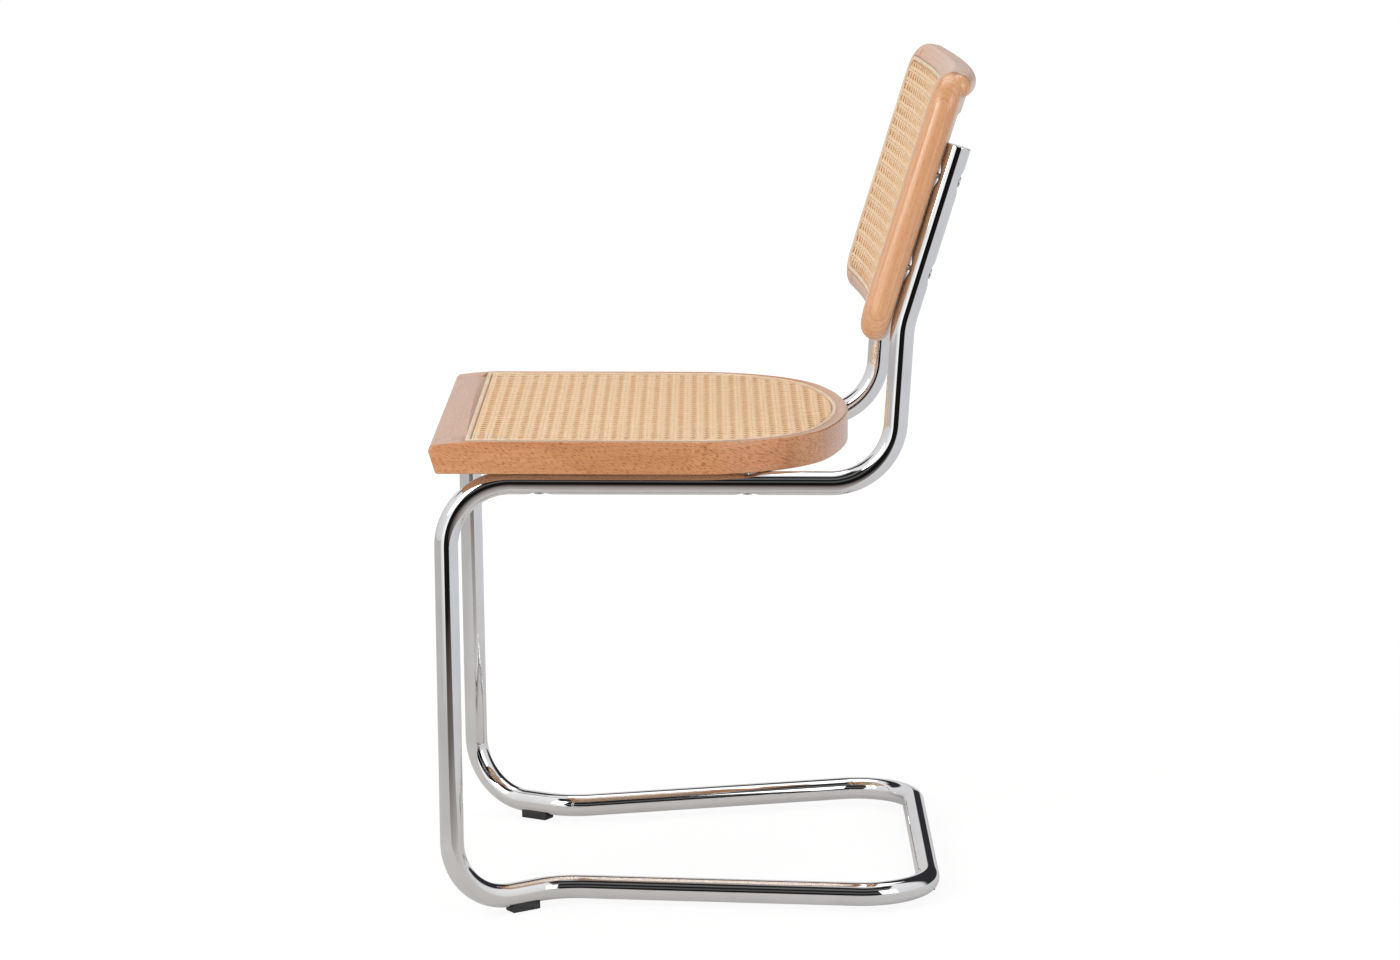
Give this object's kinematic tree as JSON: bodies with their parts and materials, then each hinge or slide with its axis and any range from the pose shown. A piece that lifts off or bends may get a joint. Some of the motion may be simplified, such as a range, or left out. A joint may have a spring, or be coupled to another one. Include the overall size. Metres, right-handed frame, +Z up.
{
  "type": "cantilever chair",
  "caption": "Cantilever side chair: a bent chromed tube carries a beech seat and a curved beech back, both with woven cane panels.",
  "frame": {"origin": "On the floor under the middle of the bounding box. The four glides rest on Z = 0.", "axes": "+Z is up, +X is to the right as seen from the front, and the sitter faces -Y, so the back of the chair is at +Y."},
  "size_m": [0.4608, 0.5364, 0.8106],
  "materials": {
    "chrome_tube": "polished chrome plating on bent steel tube",
    "chrome_cap": "polished flat plug",
    "beech": "clear satin lacquer on steamed beech",
    "dowel": "bare beech dowel, glued",
    "cane": "woven rattan cane in the six-way pattern",
    "spline": "reed spline pressed and glued in its groove",
    "brass": "threaded insert",
    "screw": "bright zinc plated",
    "glide": "moulded black plastic"
  },
  "bodies": {
    "root": {"frame_tube": "chrome_tube", "tube_end_caps": "chrome_cap", "seat_front_rail": "beech", "seat_side_rail_right": "beech", "seat_side_rail_left": "beech", "seat_rear_bow": "beech", "back_top_rail": "beech", "back_bottom_rail": "beech", "back_stile_right": "beech", "back_stile_left": "beech", "seat_dowels": "dowel", "seat_cane_panel": "cane", "seat_spline": "spline", "seat_inserts": "brass", "seat_screws": "screw", "back_dowels": "dowel", "back_cane_panel": "cane", "back_spline": "spline", "back_inserts": "brass", "back_screws": "screw", "front_glides": "glide", "rear_glides": "glide"}
  },
  "joints": []
}
